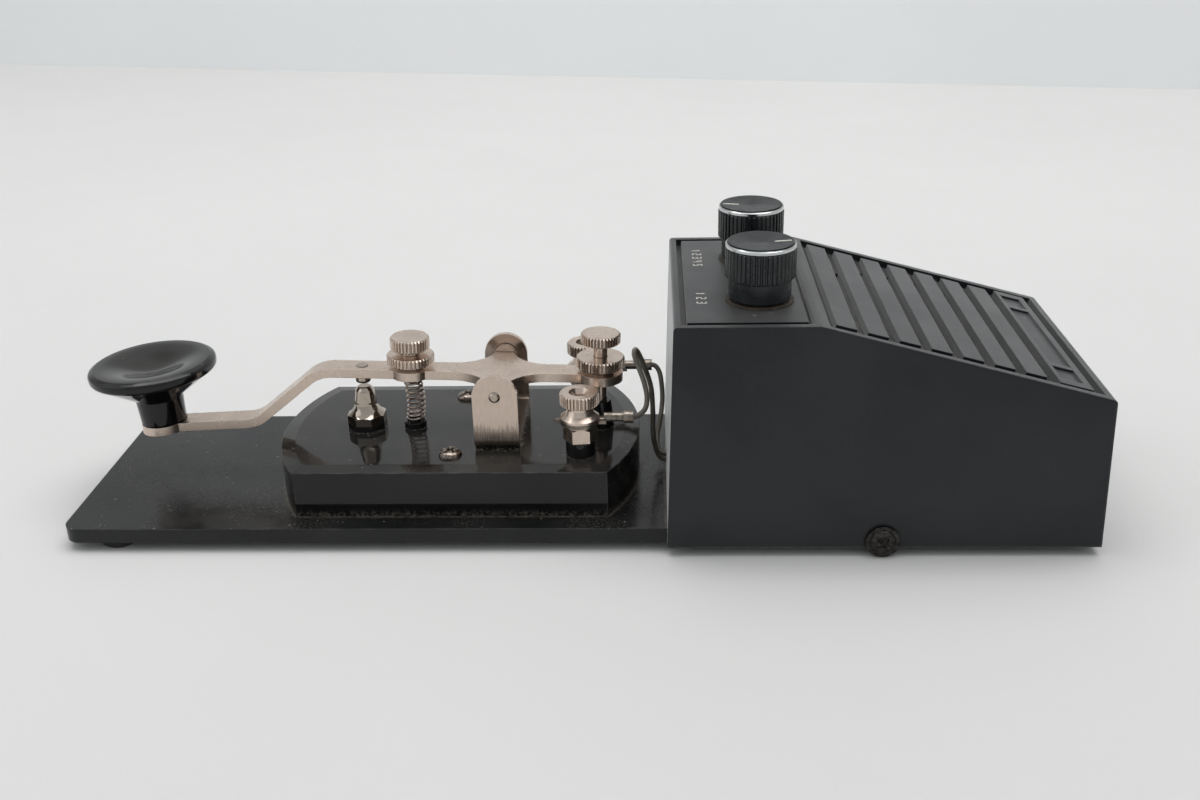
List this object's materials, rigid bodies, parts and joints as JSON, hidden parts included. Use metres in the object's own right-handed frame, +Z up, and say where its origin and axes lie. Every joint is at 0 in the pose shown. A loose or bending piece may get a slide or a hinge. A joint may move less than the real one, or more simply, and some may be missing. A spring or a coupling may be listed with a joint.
{
  "type": "morse code practice oscillator",
  "caption": "Straight telegraph key and battery tone oscillator on one steel base plate, with a louvred speaker case and two control knobs.",
  "frame": {"origin": "centre of the outline in plan, on the surface that the rubber feet stand on", "axes": "+X from the key knob to the case, +Y from the front of the picture to the back, +Z up"},
  "size_m": [0.216, 0.0644, 0.0623],
  "materials": {
    "black_paint": "satin black paint on steel, dusty",
    "rubber": "black rubber",
    "case_plastic": "matte black moulded plastic with dust in the grooves",
    "bakelite": "polished black phenolic moulding",
    "satin_nickel": "warm satin nickel plate, lightly aged",
    "bright_nickel": "polished nickel plate",
    "screw_nickel": "nickel plated screw",
    "spring_steel": "drawn spring wire",
    "dark_metal": "dark blackened metal",
    "lead_cover": "aged grey-brown insulation",
    "knob_plastic": "semi-matt black moulded knob",
    "spun_aluminium": "black spun cap with a bright turned rim",
    "fibre": "brown vulcanised fibre",
    "plated_steel": "zinc plated steel",
    "board_laminate": "green solder mask",
    "brass": "plain brass",
    "component_black": "black moulded component",
    "capacitor_sleeve": "blue shrink sleeve",
    "resistor_coat": "tan lacquer",
    "cone_paper": "black pressed paper",
    "battery_can": "plain painted can"
  },
  "bodies": {
    "base": {"base_plate": "black_paint", "rubber_feet": "rubber", "case_shell": "case_plastic", "side_washers": "screw_nickel", "side_screws": "screw_nickel", "key_base": "bakelite", "base_screws": "screw_nickel", "trunnion_bracket": "satin_nickel", "bracket_screw": "screw_nickel", "contact_post": "bright_nickel", "return_spring": "spring_steel", "spring_seat": "bakelite", "post_pad": "bakelite", "gap_boss": "bakelite", "terminal_bosses": "bakelite", "terminal_studs": "bright_nickel", "terminal_nuts": "bright_nickel", "terminal_washers": "satin_nickel", "front_ring_lug": "bright_nickel", "rear_ring_lug": "bright_nickel", "front_lead": "lead_cover", "rear_lead": "lead_cover", "panel_washers": "fibre", "front_pot": "plated_steel", "rear_pot": "plated_steel", "pot_nuts": "plated_steel", "circuit_board": "board_laminate", "board_standoffs": "brass", "board_screws": "screw_nickel", "oscillator_chip": "component_black", "capacitors": "capacitor_sleeve", "resistors": "resistor_coat", "speaker_frame": "plated_steel", "speaker_cone": "cone_paper", "speaker_magnet": "dark_metal", "speaker_screws": "screw_nickel", "battery": "battery_can", "battery_snap": "component_black", "battery_clip": "plated_steel", "phones_jack": "component_black", "power_jack": "component_black"},
    "lever": {"key_lever": "satin_nickel", "trunnion_pins": "bright_nickel", "lever_contact": "bright_nickel", "key_knob": "bakelite", "knob_screw": "screw_nickel"},
    "spring_thumbscrew": {"spring_screw": "satin_nickel"},
    "spring_nut": {"spring_lock_nut": "satin_nickel"},
    "gap_thumbscrew": {"gap_screw": "satin_nickel"},
    "gap_nut": {"gap_lock_nut": "satin_nickel"},
    "front_terminal_nut": {"front_thumb_nut": "satin_nickel"},
    "rear_terminal_nut": {"rear_thumb_nut": "satin_nickel"},
    "front_control": {"front_knob": "knob_plastic", "front_knob_cap": "spun_aluminium", "front_shaft": "plated_steel"},
    "rear_control": {"rear_knob": "knob_plastic", "rear_knob_cap": "spun_aluminium", "rear_shaft": "plated_steel"}
  },
  "joints": [
    {"name": "key_rock", "type": "hinge", "parent": "base", "child": "lever", "pos_m": [-0.0165, 0, 0.0282], "axis": [0, -1, 0], "range_deg": [0, 1.7], "stiffness_Nm_per_rad": 0.6, "springref_deg": -6.88, "deforming": ["return_spring"]},
    {"name": "spring_screw_turn", "type": "hinge", "parent": "lever", "child": "spring_thumbscrew", "pos_m": [-0.03625, 0, 0.03019], "axis": [0.0297, 0, 0.9996], "range_deg": [-360, 360]},
    {"name": "spring_nut_turn", "type": "hinge", "parent": "lever", "child": "spring_nut", "pos_m": [-0.03625, 0, 0.03019], "axis": [0.0297, 0, 0.9996], "range_deg": [-360, 360]},
    {"name": "gap_screw_turn", "type": "hinge", "parent": "lever", "child": "gap_thumbscrew", "pos_m": [0.00553, 0, 0.02895], "axis": [0.0297, 0, 0.9996], "range_deg": [-360, 360]},
    {"name": "gap_nut_turn", "type": "hinge", "parent": "lever", "child": "gap_nut", "pos_m": [0.00553, 0, 0.02895], "axis": [0.0297, 0, 0.9996], "range_deg": [-360, 360]},
    {"name": "front_terminal_turn", "type": "hinge", "parent": "base", "child": "front_terminal_nut", "pos_m": [0.0016, -0.0143, 0.0262], "axis": [0, 0, 1], "range_deg": [-360, 360]},
    {"name": "rear_terminal_turn", "type": "hinge", "parent": "base", "child": "rear_terminal_nut", "pos_m": [0.0016, 0.0143, 0.0262], "axis": [0, 0, 1], "range_deg": [-360, 360]},
    {"name": "front_control_turn", "type": "hinge", "parent": "base", "child": "front_control", "pos_m": [0.0387, -0.0137, 0.0499], "axis": [0, 0, 1], "range_deg": [-150, 150]},
    {"name": "rear_control_turn", "type": "hinge", "parent": "base", "child": "rear_control", "pos_m": [0.0387, 0.0137, 0.0499], "axis": [0, 0, 1], "range_deg": [-300, 0]}
  ]
}
